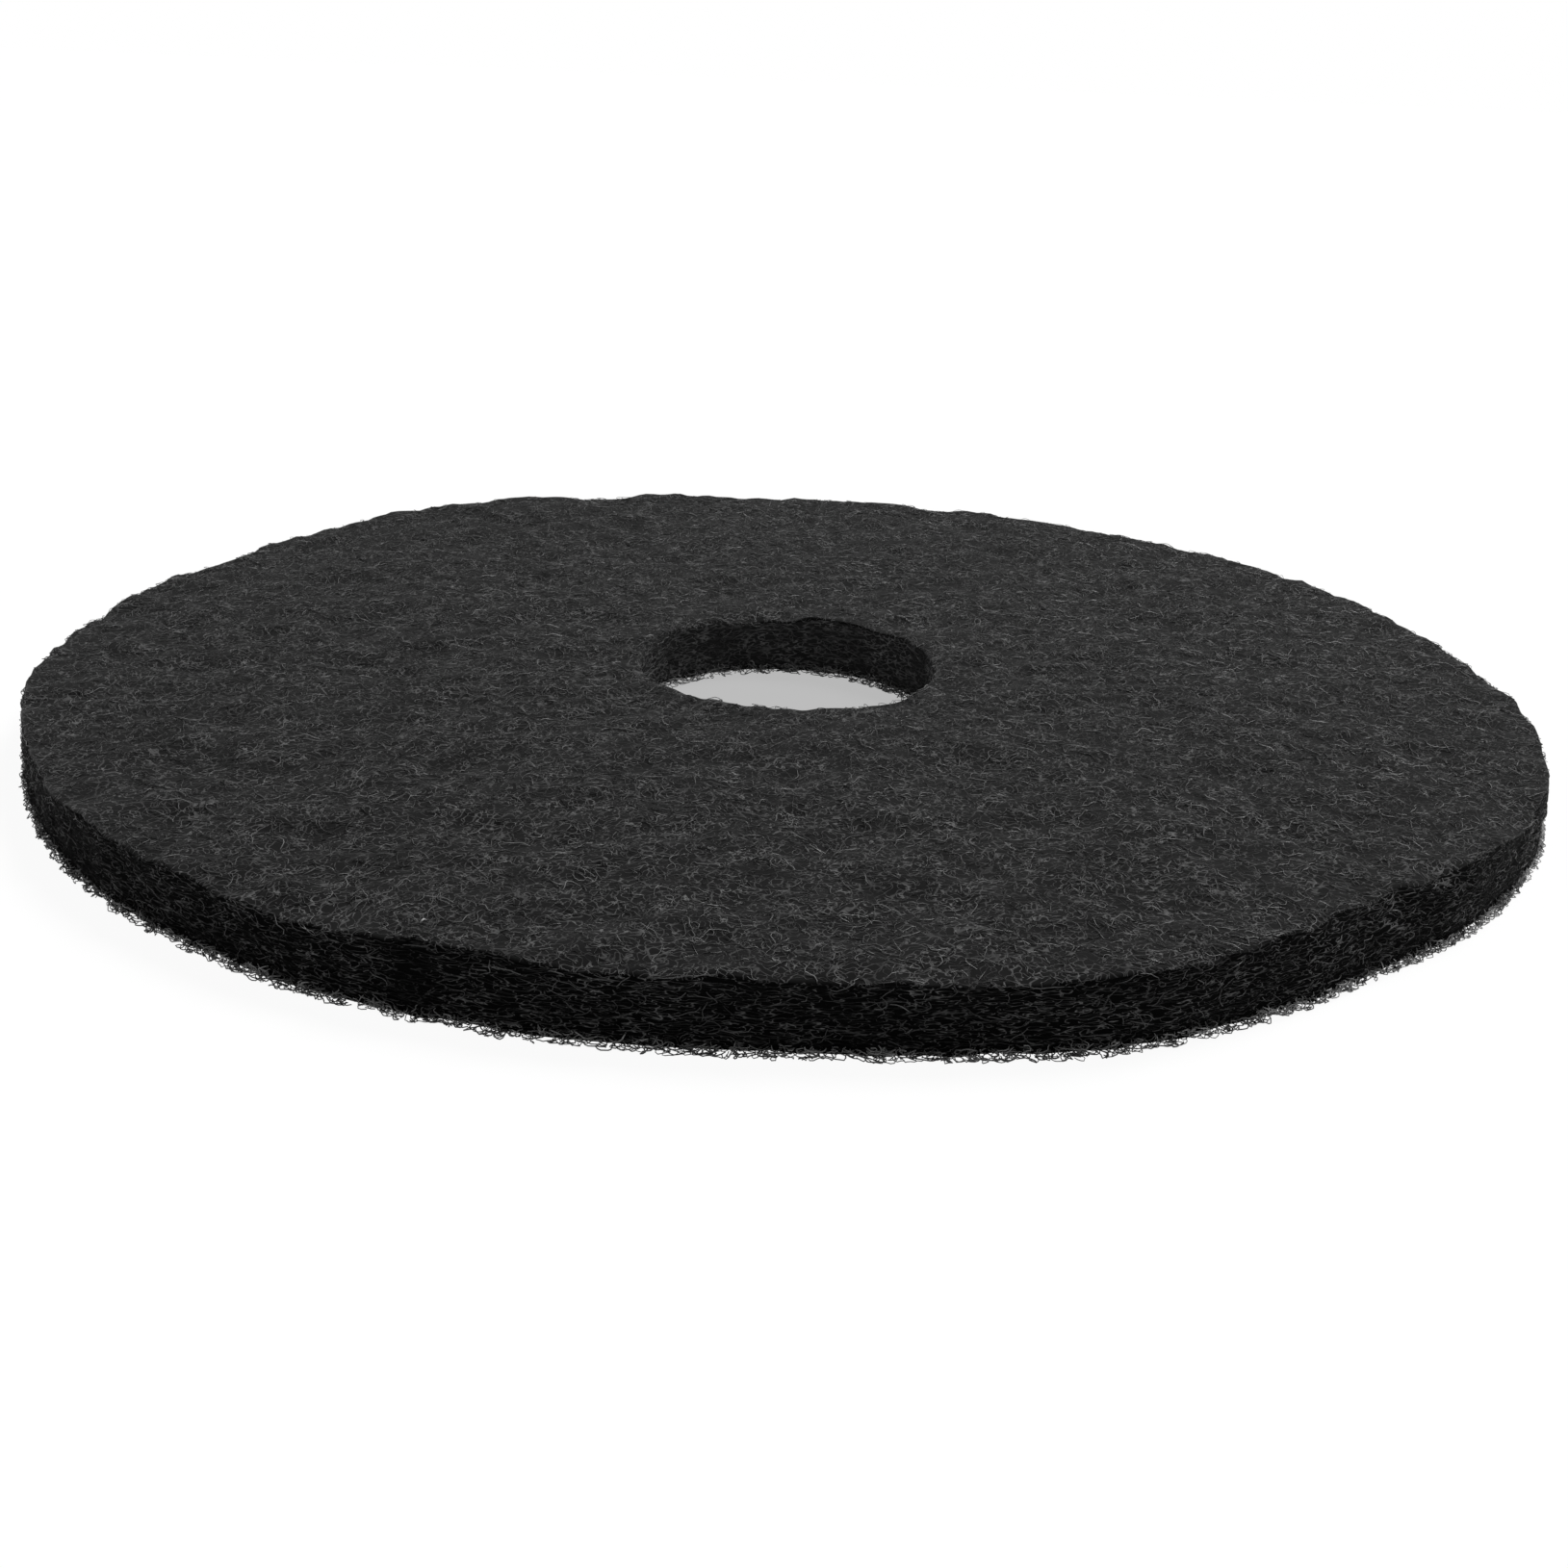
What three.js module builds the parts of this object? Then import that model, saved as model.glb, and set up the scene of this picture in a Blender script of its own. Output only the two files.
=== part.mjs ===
// Floor polishing pad: a flat round mat of bonded, crimped fibre with a round hole in the middle.
// The whole pad is cut from one sheet of fibre web, so it is one closed solid.
// Millimetres, +Z up. The origin is on the axis of the hole, on the plane that the pad lies on.

import * as THREE from "three";

// Driving sizes
const padDiameter = 432;
const padThickness = 18;
const holeDiameter = 87;

// Roundings, as radii of quarter ellipses: how far in from the wall, and how far up or down it
const topEdge = { inward: 1.4, along: 1.6 };
const bottomEdge = { inward: 2.0, along: 3.6 };
const holeEdge = { inward: 1.2, along: 1.6 };

// The die-cut outline isn't a true circle: soft bulges and flats, and a bite at the left back.
// Bearings and widths in degrees, anticlockwise from +X; reach is outward in millimetres.
const outlineBumps = [
  { bearing: 12, width: 9, reach: -2.4 },
  { bearing: 23, width: 5, reach: -1.4 },
  { bearing: 38, width: 9, reach: 1.6 },
  { bearing: 71, width: 4, reach: 1.8 },
  { bearing: 91, width: 4, reach: 0.8 },
  { bearing: 102, width: 10, reach: 1.6 },
  { bearing: 132, width: 8, reach: 2.2 },
  { bearing: 155.5, width: 5, reach: -6.6 },
  { bearing: 173, width: 12, reach: -2.6 },
  { bearing: 192, width: 5, reach: 1.0 },
  { bearing: 225, width: 15, reach: 2.0 },
  { bearing: 243, width: 7, reach: 1.5 },
  { bearing: 271, width: 10, reach: -2.8 },
  { bearing: 290, width: 6, reach: 1.9 },
  { bearing: 310, width: 7, reach: -2.5 },
  { bearing: 338, width: 8, reach: 1.2 },
];

// Where the top of the rim has been worn back over the wall, in the same terms
const shoulderBumps = [
  { bearing: 310, width: 13, reach: -4.5 },
  { bearing: 252, width: 6, reach: -1.5 },
];

// The rim stands up a little at the left back; it dies out towards the hole
const rimLift = { bearing: 122, width: 13, height: 2.2, startsAt: 150 };

// Hollows in the top, between lands that stay level: waves across the web, in millimetres
const hollowDepth = 1.1;
const hollowWaves = [
  { length: 61, heading: 24, phase: 0.4, share: 1 },
  { length: 43, heading: 97, phase: 2.1, share: 0.9 },
  { length: 34, heading: 151, phase: 4.0, share: 0.7 },
  { length: 27, heading: 62, phase: 1.2, share: 0.5 },
];

// Fineness of the mesh
const bearings = 90;
const topRings = 13;
const undersideRings = 4;
const wallRings = 3;
const edgeSteps = 2;

const padRadius = padDiameter / 2;
const holeRadius = holeDiameter / 2;

// A bell-shaped bump round the circle, 1 at its middle; angles in degrees
function bell(angle, middle, width) {
  const away = ((angle - middle + 540) % 360) - 180;
  return Math.exp(-((away / width) ** 2));
}

function sumOfBumps(bumps, angle) {
  return bumps.reduce((sum, bump) => sum + bump.reach * bell(angle, bump.bearing, bump.width), 0);
}

// The surface height of the top over a place, before its edges are rounded
function topHeight(x, y, angle) {
  let wave = 0;
  for (const { length, heading, phase, share } of hollowWaves) {
    const across = THREE.MathUtils.degToRad(heading);
    const along = x * Math.cos(across) + y * Math.sin(across);
    wave += share * Math.sin((2 * Math.PI * along) / length + phase);
  }
  const hollow = hollowDepth * THREE.MathUtils.smoothstep(wave, 0, 2);
  const outward = THREE.MathUtils.smoothstep(Math.hypot(x, y), rimLift.startsAt, padRadius);
  const lift = rimLift.height * outward * bell(angle, rimLift.bearing, rimLift.width);
  return padThickness - hollow + lift;
}

// Points of a rounded edge, from one wall to the next; turn is the quarter that it takes
function roundedEdge(centreRadius, centreHeight, edge, turn) {
  const points = [];
  for (let step = 0; step <= edgeSteps; step++) {
    const angle = ((turn + step / edgeSteps) * Math.PI) / 2;
    points.push(new THREE.Vector2(
      centreRadius + edge.inward * Math.cos(angle),
      centreHeight + edge.along * Math.sin(angle),
    ));
  }
  return points;
}

// Points strictly between two places, evenly spaced
function between(from, to, count) {
  const points = [];
  for (let step = 1; step < count; step++) {
    points.push(from.clone().lerp(to, step / count));
  }
  return points;
}

// The section of the ring, anticlockwise and closed: underside, outer wall, top, hole wall
function ringSection() {
  const outer = (edge) => padRadius - edge.inward;
  const inner = holeRadius + holeEdge.inward;
  const topOf = (edge) => padThickness - edge.along;
  const corners = [
    { points: roundedEdge(outer(bottomEdge), bottomEdge.along, bottomEdge, 3), then: wallRings },
    { points: roundedEdge(outer(topEdge), topOf(topEdge), topEdge, 0), then: topRings },
    { points: roundedEdge(inner, topOf(holeEdge), holeEdge, 1), then: wallRings },
    { points: roundedEdge(inner, holeEdge.along, holeEdge, 2), then: undersideRings },
  ];
  const section = [];
  corners.forEach(({ points, then }, index) => {
    const next = corners[(index + 1) % corners.length].points[0];
    section.push(...points, ...between(points[points.length - 1], next, then));
  });
  section.push(section[0].clone());
  return section;
}

// Moves a point of the true ring to where the cut and worn pad has it
function padPoint(radius, height, bearing) {
  const angle = THREE.MathUtils.radToDeg(bearing);
  const outward = (radius - holeRadius) / (padRadius - holeRadius);
  const up = height / padThickness;
  const bulge = sumOfBumps(outlineBumps, angle) * outward ** 2;
  const worn = sumOfBumps(shoulderBumps, angle) * outward ** 8 * up ** 3;
  const reach = radius + bulge + worn;
  const x = reach * Math.cos(bearing);
  const y = reach * Math.sin(bearing);
  return [x, y, up * topHeight(x, y, angle)];
}

function padGeometry() {
  const section = ringSection();
  const geometry = new THREE.LatheGeometry(section, bearings);
  const position = geometry.attributes.position;
  for (let column = 0; column <= bearings; column++) {
    const bearing = 2 * Math.PI * ((column % bearings) / bearings);
    section.forEach(({ x: radius, y: height }, row) => {
      position.setXYZ(column * section.length + row, ...padPoint(radius, height, bearing));
    });
  }
  geometry.computeVertexNormals();
  return geometry;
}

const fibre = new THREE.MeshStandardMaterial({
  name: "black_fibre",
  color: 0x26272a,
  roughness: 0.9,
  metalness: 0,
});

const pad = new THREE.Mesh(padGeometry(), fibre);
pad.name = "pad";

const part = new THREE.Group();
part.add(pad);

export default part;
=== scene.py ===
import math

import bpy
import numpy as np
from mathutils import Matrix, Vector


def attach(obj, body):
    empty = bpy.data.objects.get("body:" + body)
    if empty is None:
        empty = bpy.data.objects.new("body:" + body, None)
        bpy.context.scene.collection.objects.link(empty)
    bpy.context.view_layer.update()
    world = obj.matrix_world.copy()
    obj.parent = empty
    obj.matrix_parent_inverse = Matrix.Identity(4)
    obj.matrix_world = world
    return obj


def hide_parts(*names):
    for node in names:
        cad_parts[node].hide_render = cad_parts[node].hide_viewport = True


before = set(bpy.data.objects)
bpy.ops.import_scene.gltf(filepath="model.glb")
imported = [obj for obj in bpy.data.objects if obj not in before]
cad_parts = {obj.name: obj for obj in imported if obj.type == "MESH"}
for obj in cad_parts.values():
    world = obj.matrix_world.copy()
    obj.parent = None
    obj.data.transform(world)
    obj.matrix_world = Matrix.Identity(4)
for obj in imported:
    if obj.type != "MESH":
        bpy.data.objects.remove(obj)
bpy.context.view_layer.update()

METRES = 0.001
FULL_TURN = 2 * math.pi

# The pad's own sizes, as its solid has them, in millimetres
PAD_RADIUS = 216.0
PAD_THICKNESS = 18.0
HOLE_RADIUS = 43.5

# Bumps of the cut outline: bearing and width in degrees, reach outward
OUTLINE_BUMPS = [
    (12, 9, -2.4), (23, 5, -1.4), (38, 9, 1.6), (71, 4, 1.8), (91, 4, 0.8), (102, 10, 1.6),
    (132, 8, 2.2), (155.5, 5, -6.6), (173, 12, -2.6), (192, 5, 1.0), (225, 15, 2.0), (243, 7, 1.5),
    (271, 10, -2.8), (290, 6, 1.9), (310, 7, -2.5), (338, 8, 1.2),
]
# Where the top of the rim is worn back, in the same terms
SHOULDER_BUMPS = [(310, 13, -4.5), (252, 6, -1.5)]
# The rim that stands up at the left back
LIFT_BEARING, LIFT_WIDTH, LIFT_HEIGHT, LIFT_FROM = 122, 13, 2.2, 150
# Broad hollows in the top: wave length, heading in degrees, phase and share
HOLLOW_DEPTH = 1.1
HOLLOW_WAVES = [(61, 24, 0.4, 1.0), (43, 97, 2.1, 0.9), (34, 151, 4.0, 0.7), (27, 62, 1.2, 0.5)]

# The felted body inside the loose fibres: how far it stays in from each face of the pad
WEB_INSIDE_RIM = 0.6
WEB_INSIDE_HOLE = 0.7
WEB_BELOW_TOP = 0.15
WEB_OFF_FLOOR = 0.25
# Its rounded edges: how far in from the wall, and how far up or down it
RIM_FOOT_EDGE = (2.6, 2.6)
RIM_TOP_EDGE = (0.8, 1.0)
HOLE_TOP_EDGE = (0.9, 1.2)
HOLE_FOOT_EDGE = (2.4, 2.0)
# Its unevenness: how high the broad and the small lumps of the top are, and the raggedness of its walls,
# which runs in layers and fades out a few millimetres in from each wall
BROAD_LUMPS = 0.30
SMALL_LUMPS = 0.2
RAGGED_DEPTH = 0.35
RAGGED_LAYERING = 2.2
RAGGED_TO_RIM = (7, 2)
RAGGED_TO_HOLE = (6, 2)
# Fineness of its mesh: columns round the ring, and rows along each straight of its section
WEB_COLUMNS = 480
WALL_ROWS = 6
TOP_ROWS = 50
UNDERSIDE_ROWS = 10

# Crimp of the fibres: wave length in millimetres, and shares of a fibre's greatest curvature
CRIMP_LENGTH = (4, 12)
CRIMP_SWING = (0.4, 1.0)
CRIMP_LEAN = 0.4
# A fibre rises out of the web and dives back in: how steeply, and how often it ripples between
ARCH_POWER = 0.6
RIPPLES = (1, 2.5)
# Fibres stop this far inside the cut walls, and what would reach past is folded back in
CUT_CLEARANCE = 0.5
FOLD_BACK = 0.6
# Radii of the fibres in millimetres: thinnest and thickest
FACE_FIBRE_RADIUS = (0.07, 0.12)
WALL_FIBRE_RADIUS = (0.08, 0.13)
FOOT_FIBRE_RADIUS = (0.11, 0.18)
# How pale they are, darkest and palest, and the power that makes more of them dark
FACE_SHADES, FACE_DARKENING = (0.1, 1.0), 2.2
WALL_SHADES, WALL_DARKENING = (0.1, 1.0), 1.5
FOOT_SHADES = (0.2, 1.0)

# The camera that the photograph was taken with, in metres and degrees
CAMERA_PLACE = (0.0006, -0.5752, 0.1992)
CAMERA_DOWN = 21.02
CAMERA_ROLL = 2.37
CAMERA_LENS_MM = 46.13
CAMERA_SENSOR_MM = 36.0

# The lamp's place as degrees above the floor and to the right of straight behind, how many degrees wide
# it is, and the light levels
LAMP_HEIGHT = 52
LAMP_TURN = 35
LAMP_WIDTH = 25
LAMP_STRENGTH = 3.5
ROOM_STRENGTH = 0.25

# The floor: half its side in metres, how much of it glows, and its darker tone inside the hole, which is
# painted shade
FLOOR_HALF = 6.0
FLOOR_GLOW = 0.94
HOLE_FLOOR_PAINTED_SHADE = 0.5

SEED = 17

scene = bpy.context.scene
rng = np.random.default_rng(SEED)


# The pad's form

def smooth_step(value, low, high):
    part = np.clip((value - low) / (high - low), 0.0, 1.0)
    return part * part * (3.0 - 2.0 * part)


def sum_of_bumps(bumps, bearing):
    """bearing in radians; the bumps are bell-shaped round the circle."""
    angle = np.degrees(bearing)
    total = np.zeros(np.shape(bearing))
    for middle, width, reach in bumps:
        away = (angle - middle + 180.0) % 360.0 - 180.0
        total += reach * np.exp(-((away / width) ** 2))
    return total


def top_height(x, y):
    """Height of the top face, before its edges are rounded."""
    wave = np.zeros(np.shape(x))
    for length, heading, phase, share in HOLLOW_WAVES:
        across = math.radians(heading)
        along = x * math.cos(across) + y * math.sin(across)
        wave += share * np.sin(FULL_TURN * along / length + phase)
    hollow = HOLLOW_DEPTH * smooth_step(wave, 0.0, 2.0)
    outward = smooth_step(np.hypot(x, y), LIFT_FROM, PAD_RADIUS)
    lift = outward * sum_of_bumps([(LIFT_BEARING, LIFT_WIDTH, LIFT_HEIGHT)], np.arctan2(y, x))
    return PAD_THICKNESS - hollow + lift


def outline_radius(bearing, height):
    """Outer radius of the pad at a height above the floor, before its edges are rounded."""
    up = np.clip(height / PAD_THICKNESS, 0.0, 1.0)
    worn = sum_of_bumps(SHOULDER_BUMPS, bearing) * up**3
    return PAD_RADIUS + sum_of_bumps(OUTLINE_BUMPS, bearing) + worn


def lumps(shortest, longest, count=36):
    """A field of soft lumps about 1 high, a sum of waves of many headings through space."""
    heading = rng.normal(size=(count, 3))
    heading /= np.linalg.norm(heading, axis=1)[:, None]
    turns = heading * FULL_TURN / rng.uniform(shortest, longest, count)[:, None]
    phase = rng.uniform(0, FULL_TURN, count)

    def field(x, y, z):
        total = np.zeros(np.broadcast(x, y, z).shape)
        for (a, b, c), start in zip(turns, phase):
            total += np.sin(a * x + b * y + c * z + start)
        return total * math.sqrt(2.0 / count)

    return field


# Shortest and longest wave of each, in millimetres
broad_lumps = lumps(12, 30)
small_lumps = lumps(5, 11)
wall_lumps = lumps(7, 16)


def web_height(x, y):
    """Height of the felted top that the fibres lie on."""
    uneven = BROAD_LUMPS * broad_lumps(x, y, 0.0) + SMALL_LUMPS * small_lumps(x, y, 0.0)
    return top_height(x, y) - WEB_BELOW_TOP + uneven


# Meshes

def link(name, mesh):
    thing = bpy.data.objects.new(name, mesh)
    scene.collection.objects.link(thing)
    return thing


def mesh_of(name, points, quads, triangles=None):
    """A smooth-shaded mesh from arrays: points in millimetres, quads and triangles as corner numbers."""
    triangles = np.zeros((0, 3), int) if triangles is None else triangles
    corners = np.concatenate([quads.ravel(), triangles.ravel()])
    sizes = np.concatenate([np.full(len(quads), 4), np.full(len(triangles), 3)])
    mesh = bpy.data.meshes.new(name)
    mesh.vertices.add(len(points))
    mesh.vertices.foreach_set("co", (points * METRES).astype(np.float32).ravel())
    mesh.loops.add(len(corners))
    mesh.loops.foreach_set("vertex_index", corners.astype(np.int32))
    mesh.polygons.add(len(sizes))
    mesh.polygons.foreach_set("loop_start", (np.cumsum(sizes) - sizes).astype(np.int32))
    mesh.polygons.foreach_set("use_smooth", np.ones(len(sizes), bool))
    mesh.update(calc_edges=True)
    mesh.validate()
    return mesh


def rounded_edge(wall, level, size, quarter, steps):
    """A quarter ellipse between a wall and a level face, as radius and height. quarter says which of
    the four quarters it is, anticlockwise from the one that faces out and up."""
    inward, along = size
    radius = wall + inward if quarter in (1, 2) else wall - inward
    height = level + along if quarter in (2, 3) else level - along
    angle = (quarter + np.linspace(0, 1, steps)) * math.pi / 2
    return np.stack([radius + inward * np.cos(angle), height + along * np.sin(angle)], 1)


def between(start, end, count):
    """Points strictly between two places, evenly spaced."""
    share = np.linspace(0, 1, count + 1)[1:-1, None]
    return start + (end - start) * share


def web_section():
    """Section of the felted body, as radius and height, anticlockwise from the foot of the rim."""
    outer, inner = PAD_RADIUS - WEB_INSIDE_RIM, HOLE_RADIUS + WEB_INSIDE_HOLE
    foot_steps, top_steps = 6, 4
    edges = [
        rounded_edge(outer, WEB_OFF_FLOOR, RIM_FOOT_EDGE, 3, foot_steps),
        rounded_edge(outer, PAD_THICKNESS, RIM_TOP_EDGE, 0, top_steps),
        rounded_edge(inner, PAD_THICKNESS, HOLE_TOP_EDGE, 1, top_steps),
        rounded_edge(inner, WEB_OFF_FLOOR, HOLE_FOOT_EDGE, 2, foot_steps),
    ]
    following = edges[1:] + edges[:1]
    points = []
    for curve, after, count in zip(edges, following, [WALL_ROWS, TOP_ROWS, WALL_ROWS, UNDERSIDE_ROWS]):
        points += [curve, between(curve[-1], after[0], count)]
    return np.concatenate(points)


def wall_slots(radius, height):
    """Which material each row of the body's faces takes: 0 level, 1 outer wall, 2 the hole's wall."""
    middle = (height + np.roll(height, -1)) / 2
    off_underside, below_top, hole_side = 0.01, 0.4, 5
    wall = ((middle > height.min() + off_underside) & (middle < PAD_THICKNESS - below_top)).astype(int)
    return wall + (wall & (radius < HOLE_RADIUS + hole_side))


def make_body():
    """The felted ring that the fibres stand on; its walls are set back for them."""
    section = web_section()
    rows = len(section)
    radius, height = section.T
    bearing = np.linspace(0, FULL_TURN, WEB_COLUMNS, endpoint=False)[:, None]
    outward = (radius - HOLE_RADIUS) / (PAD_RADIUS - HOLE_RADIUS)
    up = height / PAD_THICKNESS
    reach = radius + sum_of_bumps(OUTLINE_BUMPS, bearing) * outward**2
    reach = reach + sum_of_bumps(SHOULDER_BUMPS, bearing) * outward**8 * up**3
    x, y = reach * np.cos(bearing), reach * np.sin(bearing)
    ragged = RAGGED_DEPTH * wall_lumps(x, y, RAGGED_LAYERING * height)
    rim_from, rim_full = RAGGED_TO_RIM
    hole_from, hole_full = RAGGED_TO_HOLE
    near_rim = smooth_step(radius, PAD_RADIUS - rim_from, PAD_RADIUS - rim_full)
    near_hole = smooth_step(-radius, -HOLE_RADIUS - hole_from, -HOLE_RADIUS - hole_full)
    reach = reach + ragged * (near_rim - near_hole)
    x, y = reach * np.cos(bearing), reach * np.sin(bearing)
    z = up * web_height(x, y)
    points = np.stack([x, y, z], -1).reshape(-1, 3)
    column, row = np.meshgrid(np.arange(WEB_COLUMNS), np.arange(rows), indexing="ij")
    after, above = (column + 1) % WEB_COLUMNS, (row + 1) % rows
    corners = [column * rows + row, after * rows + row, after * rows + above, column * rows + above]
    mesh = mesh_of("pad_web", points, np.stack(corners, -1).reshape(-1, 4))
    slots = np.tile(wall_slots(radius, height), WEB_COLUMNS)
    mesh.polygons.foreach_set("material_index", slots.astype(np.int32))
    return link("pad_web", mesh)


def lay_out(mesh, count, steps, sides):
    """A map for baking that gives each tube a cell of its own: its skin, and its two ends beside it."""
    cells = math.ceil(math.sqrt(count))
    fibre = np.arange(count)
    cell = np.stack([fibre % cells, fibre // cells], -1)[:, None]
    # Places inside a cell that is one wide and one high
    skin_left, skin_width = 0.05, 0.75
    skin_foot, skin_height = 0.1, 0.8
    end = np.array([[0.86, 0.1], [0.96, 0.1], [0.91, 0.4]])
    other_end = end + [0.0, 0.5]
    skin = np.empty((steps - 1, sides, 4, 2))
    lengthways = np.arange(steps - 1)[:, None, None] + np.array([0, 0, 1, 1])
    around = np.arange(sides)[None, :, None] + np.array([0, 1, 1, 0])
    skin[..., 0] = skin_left + skin_width * lengthways / (steps - 1)
    skin[..., 1] = skin_foot + skin_height * around / sides
    places = [cell + skin.reshape(1, -1, 2), cell + end, cell + other_end]
    flat = np.concatenate([place.reshape(-1, 2) for place in places])
    layer = mesh.uv_layers.new(name="OFBake")
    layer.data.foreach_set("uv", (flat / cells).astype(np.float32).ravel())


def tubes(name, paths, radii, shades):
    """One mesh of thin closed three-sided tubes. paths is (fibres, steps, 3) in millimetres, and shades
    is how pale each fibre is, painted shade and painted light included, kept on the mesh for its
    material."""
    sides = 3
    count, steps, _ = paths.shape
    along = np.gradient(paths, axis=1)
    along /= np.linalg.norm(along, axis=2)[..., None]
    side = np.cross(along[:, 0], rng.normal(size=(count, 3)))
    rings = np.empty((count, steps, sides, 3))
    turn = FULL_TURN * np.arange(sides) / sides
    for step in range(steps):
        forward = along[:, step]
        side = side - forward * (side * forward).sum(1)[:, None]
        side /= np.linalg.norm(side, axis=1)[:, None]
        other = np.cross(forward, side)
        for number, angle in enumerate(turn):
            arm = side * math.cos(angle) + other * math.sin(angle)
            rings[:, step, number] = paths[:, step] + arm * radii[:, None]
    ring = (np.arange(count) * steps * sides)[:, None, None]
    ring = ring + (np.arange(steps - 1) * sides)[None, :, None]
    one = np.arange(sides)[None, None, :]
    two = (one + 1) % sides
    corners = [ring + one, ring + two, ring + sides + two, ring + sides + one]
    first = (np.arange(count) * steps * sides)[:, None]
    start = first + np.array([2, 1, 0])
    end = first + (steps - 1) * sides + np.array([0, 1, 2])
    quads = np.stack(corners, -1).reshape(-1, 4)
    mesh = mesh_of(name, rings.reshape(-1, 3), quads, np.concatenate([start, end]))
    lay_out(mesh, count, steps, sides)
    shade = mesh.attributes.new("shade", "FLOAT", "POINT")
    each_point = np.broadcast_to(shades, (count, steps)).repeat(sides)
    shade.data.foreach_set("value", each_point.astype(np.float32))
    return link(name, mesh)


def crimped(count, steps, step_length, bend, spread=math.pi):
    """Offsets of crimped fibres that wander over a surface: (count, steps) sideways and forward."""
    place = np.arange(steps) * step_length
    length = rng.uniform(*CRIMP_LENGTH, (count, 1))
    phase = rng.uniform(0, FULL_TURN, (count, 1))
    swing = rng.uniform(*CRIMP_SWING, (count, 1)) * bend
    lean = rng.normal(0, CRIMP_LEAN * bend, (count, 1))
    curve = swing * np.sin(FULL_TURN * place / length + phase) + lean
    heading = rng.uniform(-spread, spread, (count, 1)) + np.cumsum(curve, 1) * step_length
    across = np.cumsum(np.cos(heading), 1) * step_length
    forward = np.cumsum(np.sin(heading), 1) * step_length
    return across - across.mean(1)[:, None], forward - forward.mean(1)[:, None]


def crest(count, steps, dip, lowest, highest, ripple=0.15):
    """How far each fibre stands out along its length: up from a dive at each end."""
    place = np.linspace(0, 1, steps)
    rise = rng.uniform(lowest, highest, (count, 1))
    turns = place * rng.uniform(*RIPPLES, (count, 1)) + rng.uniform(size=(count, 1))
    arch = np.sin(math.pi * place) ** ARCH_POWER
    return -dip + (dip + rise + ripple * np.sin(FULL_TURN * turns)) * arch


def on_ring(count):
    """Random places on the ring, even by area."""
    nearest, furthest = HOLE_RADIUS + CUT_CLEARANCE, PAD_RADIUS - CUT_CLEARANCE
    radius = np.sqrt(rng.uniform(nearest**2, furthest**2, (count, 1)))
    bearing = rng.uniform(0, FULL_TURN, (count, 1))
    return radius * np.cos(bearing), radius * np.sin(bearing)


def inside_cut(x, y, height):
    """The same places, with what would reach past the cut edges folded back in."""
    radius, bearing = np.hypot(x, y), np.arctan2(y, x)
    outer = outline_radius(bearing, height) - CUT_CLEARANCE
    radius = np.where(radius > outer, outer - FOLD_BACK * (radius - outer), radius)
    inner = HOLE_RADIUS + CUT_CLEARANCE
    radius = np.where(radius < inner, inner + FOLD_BACK * (inner - radius), radius)
    return radius * np.cos(bearing), radius * np.sin(bearing)


def face_fibres(name, count, step_length=1.2, bend=0.75, under=False):
    """Crimped fibres over the top, or under the pad, cut off level with its edges."""
    steps = 9
    dip, highest = 0.4, 0.7
    pressed, pressed_from, pressed_full = 0.55, 12, 2
    under_level, under_lowest = 0.45, 0.16
    # Painted shade: how far a fibre stands out where it is painted darkest, and where its painted shade
    # is gone
    stand_fully_shaded, stand_unshaded = -0.35, 0.45
    x, y = on_ring(count)
    across, forward = crimped(count, steps, step_length, bend)
    x, y = inside_cut(x + across, y + forward, 0.0 if under else PAD_THICKNESS)
    stand = crest(count, steps, dip, 0.0, highest)
    near_rim = smooth_step(np.hypot(x, y), PAD_RADIUS - pressed_from, PAD_RADIUS - pressed_full)
    stand = stand * (1.0 - pressed * near_rim)
    z = np.maximum(under_level - stand, under_lowest) if under else web_height(x, y) + stand
    # Each fibre's own paleness is random; on top of it, painted shade darkens it where it dives into the
    # web, for the shade down there
    pale = rng.uniform(*FACE_SHADES, (count, 1)) ** FACE_DARKENING
    shades = pale * smooth_step(stand, stand_fully_shaded, stand_unshaded)
    radii = rng.uniform(*FACE_FIBRE_RADIUS, count)
    return tubes(name, np.stack([x, y, z], -1), radii, shades)


def wall_place(bearing, z, stand, outward):
    """A point on the outer wall or the hole's wall, stand millimetres proud of its cut face."""
    if outward:
        radius = outline_radius(bearing, z) + stand
    else:
        radius = HOLE_RADIUS - stand
    return np.stack([radius * np.cos(bearing), radius * np.sin(bearing), z], -1)


def wall_fibres(name, count, outward):
    """Cut layers that show in a wall: short waves that run level and dip in and out."""
    steps, step_length = 9, 1.1
    bend, spread, steepness = 0.55, 0.25, 0.55
    lowest, highest = 1.5, PAD_THICKNESS - 0.9
    off_floor, below_top = 0.3, 0.5
    dip, least, most, ripple = 1.4, -0.9, -0.1, 0.3
    shoulder, shoulder_depth = 1.5, 0.5
    across, forward = crimped(count, steps, step_length, bend, spread)
    size = PAD_RADIUS if outward else HOLE_RADIUS
    bearing = rng.uniform(0, FULL_TURN, (count, 1)) + across / size
    level = rng.uniform(lowest, highest, (count, 1))
    top = top_height(size * np.cos(bearing), size * np.sin(bearing))
    z = np.clip(level + steepness * forward, off_floor, top - below_top)
    stand = crest(count, steps, dip, least, most, ripple)
    stand = stand - shoulder_depth * smooth_step(z, PAD_THICKNESS - shoulder, PAD_THICKNESS)
    # Painted light and shade: outer wall fibres are darker up in the shade, paler down by the lit floor;
    # the hole's fibres are paler still
    pale = 0.75 - 0.3 * level / PAD_THICKNESS if outward else 0.9
    shades = rng.uniform(*WALL_SHADES, (count, 1)) ** WALL_DARKENING * pale
    radii = rng.uniform(*WALL_FIBRE_RADIUS, count)
    return tubes(name, wall_place(bearing, z, stand, outward), radii, shades)


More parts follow.
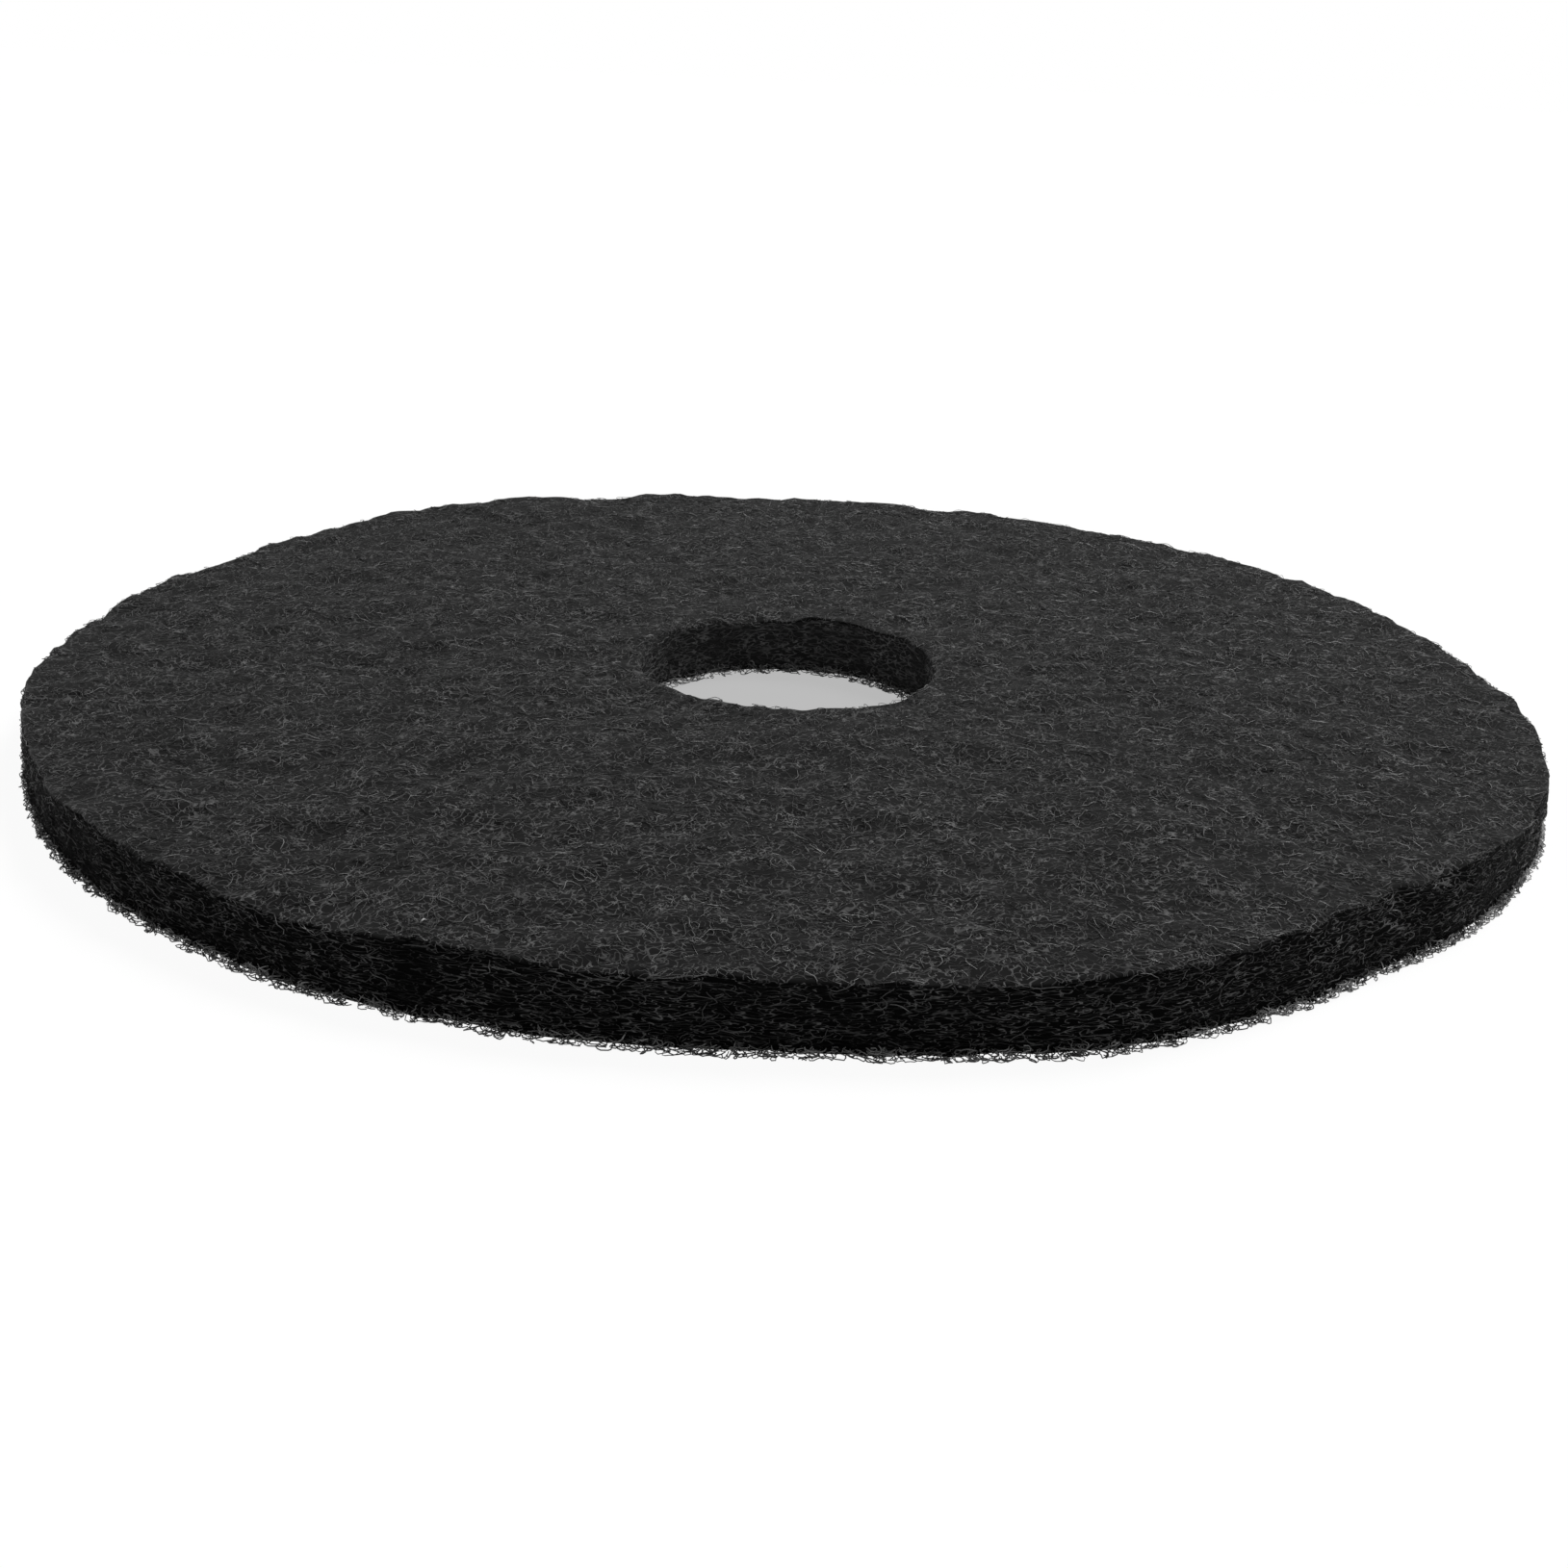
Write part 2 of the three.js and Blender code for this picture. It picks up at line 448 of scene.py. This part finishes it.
def foot_fibres(name, count, outward):
    """The open, curly foot of a wall, where the web frays against the floor."""
    steps, step_length = 8, 0.8
    bend, steepness = 1.4, 0.5
    lowest, depth, crowding = 0.25, 2.6, 1.2
    off_floor = 0.2
    deepest, furthest = -1.2, 0.9 if outward else 2.4
    fades_at, full_at = 4.0, 1.0
    set_back = 0.2
    dip, most, ripple = 0.8, 0.7, 0.3
    across, forward = crimped(count, steps, step_length, bend)
    size = PAD_RADIUS if outward else HOLE_RADIUS
    bearing = rng.uniform(0, FULL_TURN, (count, 1)) + across / size
    level = lowest + depth * rng.uniform(0, 1, (count, 1)) ** crowding
    z = np.maximum(level + steepness * forward, off_floor)
    near_floor = smooth_step(-level, -fades_at, -full_at)
    reach = rng.uniform(deepest, furthest, (count, 1)) * near_floor - set_back
    stand = reach + crest(count, steps, dip, 0.0, most, ripple)
    shades = rng.uniform(*FOOT_SHADES, (count, 1))
    radii = rng.uniform(*FOOT_FIBRE_RADIUS, count)
    return tubes(name, wall_place(bearing, z, stand, outward), radii, shades)


def lint():
    """A pale fleck caught in the top, near the front."""
    middle_x, middle_y, thickness = -73.8, -193.1, 0.28
    x = middle_x + np.array([-0.5, -0.2, 0.1, 0.4])
    y = middle_y + np.array([-0.7, -0.3, 0.2, 0.7])
    z = top_height(x, y) + np.array([0.1, 0.5, 0.6, 0.2])
    return tubes("lint", np.stack([x, y, z], -1)[None], np.array([thickness]), np.array([[1.0]]))


# Materials

class Nodes:
    """A material's node tree, with short calls for the nodes that the fibre needs."""

    def __init__(self, name):
        self.material = bpy.data.materials.new(name)
        self.material.use_nodes = True
        self.tree = self.material.node_tree
        self.shader = self.tree.nodes["Principled BSDF"]

    def add(self, kind, inputs=None, **settings):
        node = self.tree.nodes.new(kind)
        for key, value in settings.items():
            setattr(node, key, value)
        for key, value in (inputs or {}).items():
            self.set(node.inputs[key], value)
        return node

    def set(self, socket, value):
        if isinstance(value, bpy.types.NodeSocket):
            self.tree.links.new(value, socket)
        else:
            socket.default_value = value

    def shade(self, **values):
        """Sets the shader's own sockets; base_color is the socket Base Color, and so on."""
        for key, value in values.items():
            socket = key.replace("_", " ").title().replace("Ior", "IOR")
            self.set(self.shader.inputs[socket], value)

    def math(self, operation, one, two=0.0):
        return self.add("ShaderNodeMath", {0: one, 1: two}, operation=operation).outputs[0]

    def ramp(self, value, low, high, to_low, to_high, smooth=False):
        kind = "SMOOTHSTEP" if smooth else "LINEAR"
        inputs = {"Value": value, "From Min": low, "From Max": high, "To Min": to_low, "To Max": to_high}
        return self.add("ShaderNodeMapRange", inputs, interpolation_type=kind).outputs["Result"]

    def place(self, stretch=(1, 1, 1), shift=(0, 0, 0)):
        coordinates = self.add("ShaderNodeTexCoord").outputs["Object"]
        inputs = {"Vector": coordinates, "Location": shift, "Scale": stretch}
        return self.add("ShaderNodeMapping", inputs).outputs["Vector"]

    def noise(self, place, scale, detail=0.0, distortion=0.0):
        inputs = {"Vector": place, "Scale": scale, "Detail": detail, "Distortion": distortion}
        return self.add("ShaderNodeTexNoise", inputs).outputs["Fac"]

    def patches(self, scale, detail, least, most):
        """Soft patches that run from least to most between two levels of a noise."""
        low, high = 0.35, 0.65
        return self.ramp(self.noise(self.place(), scale, detail), low, high, least, most)

    def mix(self, share, one, two):
        node = self.add("ShaderNodeMix", data_type="RGBA")
        self.set(node.inputs["Factor"], share)
        self.set(node.inputs["A"], one)
        self.set(node.inputs["B"], two)
        return node.outputs["Result"]


def grey(level):
    return (level, level, level, 1.0)


def web_material(name, dark, light, stretch, scales, width, sheen=0.0):
    """Felted web: each layer of fibres is where a noise passes its middle, so it curls and closes.
    stretch flattens it into level layers, and width is how far from its middle a fibre reaches."""
    nodes = Nodes(name)
    middle = 0.5
    fade = 0.25
    strongest = None
    for layer, scale in enumerate(scales):
        place = nodes.place((1, 1, stretch), (0.13 * layer, 0.07 * layer, 0.05 * layer))
        noise = nodes.noise(place, scale, detail=0.6, distortion=0.3)
        ridge = nodes.math("ABSOLUTE", nodes.math("SUBTRACT", noise, middle))
        line = nodes.ramp(ridge, 0.0, width, 1.0 - fade * layer, 0.0, smooth=True)
        strongest = line if strongest is None else nodes.math("MAXIMUM", strongest, line)
    mottle = nodes.patches(scale=110, detail=4.0, least=0.2, most=1.15)
    share = nodes.math("MULTIPLY", strongest, mottle)
    bump = nodes.add("ShaderNodeBump", {"Height": strongest, "Distance": 0.0003, "Strength": 0.8})
    nodes.shade(
        base_color=nodes.mix(share, grey(dark), grey(light)),
        roughness=nodes.ramp(strongest, 0, 1, 0.95, 0.6),
        specular_ior_level=0.05,
        sheen_weight=sheen,
        normal=bump.outputs["Normal"],
    )
    return nodes.material


def fibre_material(name, dark, light):
    """Single fibres: resin-coated, a little glossy, each one its own shade of near black. The shade
    attribute also carries painted shade on the top's fibres and painted light on the walls' fibres.
    """
    nodes = Nodes(name)
    own = nodes.add("ShaderNodeAttribute", attribute_name="shade").outputs["Fac"]
    share = nodes.math("MULTIPLY", own, nodes.patches(scale=85, detail=3.0, least=0.6, most=1.1))
    nodes.shade(
        base_color=nodes.mix(share, grey(dark), grey(light)),
        roughness=0.42,
        specular_ior_level=0.4,
    )
    return nodes.material


# The surroundings

def add_camera():
    data = bpy.data.cameras.new("camera")
    data.sensor_fit = "HORIZONTAL"
    data.sensor_width = CAMERA_SENSOR_MM
    data.lens = CAMERA_LENS_MM
    camera = link("camera", data)
    tilt = Matrix.Rotation(math.radians(90 - CAMERA_DOWN), 4, "X")
    roll = Matrix.Rotation(math.radians(CAMERA_ROLL), 4, "Z")
    camera.matrix_world = Matrix.Translation(CAMERA_PLACE) @ tilt @ roll
    bpy.context.scene.camera = camera


def add_floor():
    """White paper that shows as white and keeps a soft shadow; inside the hole it is painted dimmer, a
    painted shade.
    """
    half = FLOOR_HALF
    corners = [(-half, -half, 0), (half, -half, 0), (half, half, 0), (-half, half, 0)]
    mesh = bpy.data.meshes.new("floor")
    mesh.from_pydata(corners, [], [(0, 1, 2, 3)])
    floor = link("floor", mesh)
    paper = Nodes("paper")
    away = paper.add("ShaderNodeVectorMath", {0: paper.place()}, operation="LENGTH").outputs["Value"]
    # Painted shade: the paper is painted darker inside the hole, and its tone changes back under the
    # pad, where it isn't seen
    painted_shade_to, white_from = 1.2 * HOLE_RADIUS * METRES, 0.8 * PAD_RADIUS * METRES
    shaded_tone = paper.ramp(away, painted_shade_to, white_from, HOLE_FLOOR_PAINTED_SHADE, 1.0)
    shaded_colour = paper.add("ShaderNodeCombineColor", {"Red": shaded_tone, "Green": shaded_tone, "Blue": shaded_tone}).outputs[0]
    paper.shade(base_color=shaded_colour, roughness=1.0, specular_ior_level=0.0)
    glow = paper.add("ShaderNodeEmission", {"Color": shaded_colour, "Strength": 1.0}).outputs[0]
    seen = paper.add("ShaderNodeLightPath").outputs["Is Camera Ray"]
    share = paper.math("MULTIPLY", seen, FLOOR_GLOW)
    mixed = paper.add("ShaderNodeMixShader", {0: share, 1: paper.shader.outputs[0], 2: glow}).outputs[0]
    output = paper.tree.nodes["Material Output"]
    paper.set(output.inputs["Surface"], mixed)
    mesh.materials.append(paper.material)


def add_light():
    """A soft lamp high behind the pad to the right, and a dimmer white room that shows as white."""
    data = bpy.data.lights.new("softbox", "SUN")
    data.energy = LAMP_STRENGTH
    data.angle = math.radians(LAMP_WIDTH)
    lamp = link("softbox", data)
    height, turn = math.radians(LAMP_HEIGHT), math.radians(LAMP_TURN)
    level = math.cos(height)
    towards = Vector((math.sin(turn) * level, math.cos(turn) * level, math.sin(height)))
    lamp.rotation_euler = towards.to_track_quat("Z", "Y").to_euler()
    world = bpy.data.worlds.new("room")
    world.use_nodes = True
    scene.world = world
    nodes, links = world.node_tree.nodes, world.node_tree.links
    background = nodes["Background"]
    background.inputs["Color"].default_value = grey(1.0)
    path = nodes.new("ShaderNodeLightPath")
    strength = nodes.new("ShaderNodeMapRange")
    links.new(path.outputs["Is Camera Ray"], strength.inputs["Value"])
    strength.inputs["To Min"].default_value = ROOM_STRENGTH
    strength.inputs["To Max"].default_value = 1.0
    links.new(strength.outputs["Result"], background.inputs["Strength"])


def main():
    scene.view_settings.view_transform = "Standard"
    add_camera()
    add_floor()
    add_light()

    # Scales are noise cells per metre
    face = web_material("web_face", dark=0.001, light=0.12, stretch=1.0, scales=(450, 320, 230),
                        width=0.026, sheen=0.1)
    cut = web_material("web_cut", dark=0.001, light=0.12, stretch=4.5, scales=(300, 210), width=0.03)
    # Painted light: the hole's wall takes a paler copy of the cut web, for the floor's light inside the
    # hole
    lit_hole_cut = web_material("web_hole_cut", dark=0.02, light=0.16, stretch=3.0, scales=(330, 230),
                            width=0.06)
    fibre = fibre_material("fibre", dark=0.004, light=0.17)
    # Painted light: the foot's fibres take a paler copy of the fibre material, for the light that the
    # floor throws up at the foot
    lit_foot = fibre_material("lit_foot_fibre", dark=0.02, light=0.40)
    pale = fibre_material("pale_lint", dark=0.3, light=0.45)

    body = make_body()
    for material in (face, cut, lit_hole_cut):
        body.data.materials.append(material)
    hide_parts("pad")
    fibres = [
        face_fibres("top_fibres_a", 3600),
        face_fibres("top_fibres_b", 3600),
        face_fibres("top_fibres_c", 3600, step_length=0.8, bend=1.2),
        wall_fibres("rim_fibres", 2000, outward=True),
        foot_fibres("foot_fibres", 3900, outward=True),
        wall_fibres("hole_fibres", 500, outward=False),
        foot_fibres("hole_foot_fibres", 800, outward=False),
        face_fibres("underside_fibres", 500, under=True),
    ]
    fleck = lint()
    fleck.data.materials.append(pale)
    for piece in fibres:
        piece.data.materials.append(lit_foot if piece.name.endswith("foot_fibres") else fibre)
    for piece in [body, fleck, *fibres]:
        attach(piece, "root")


main()
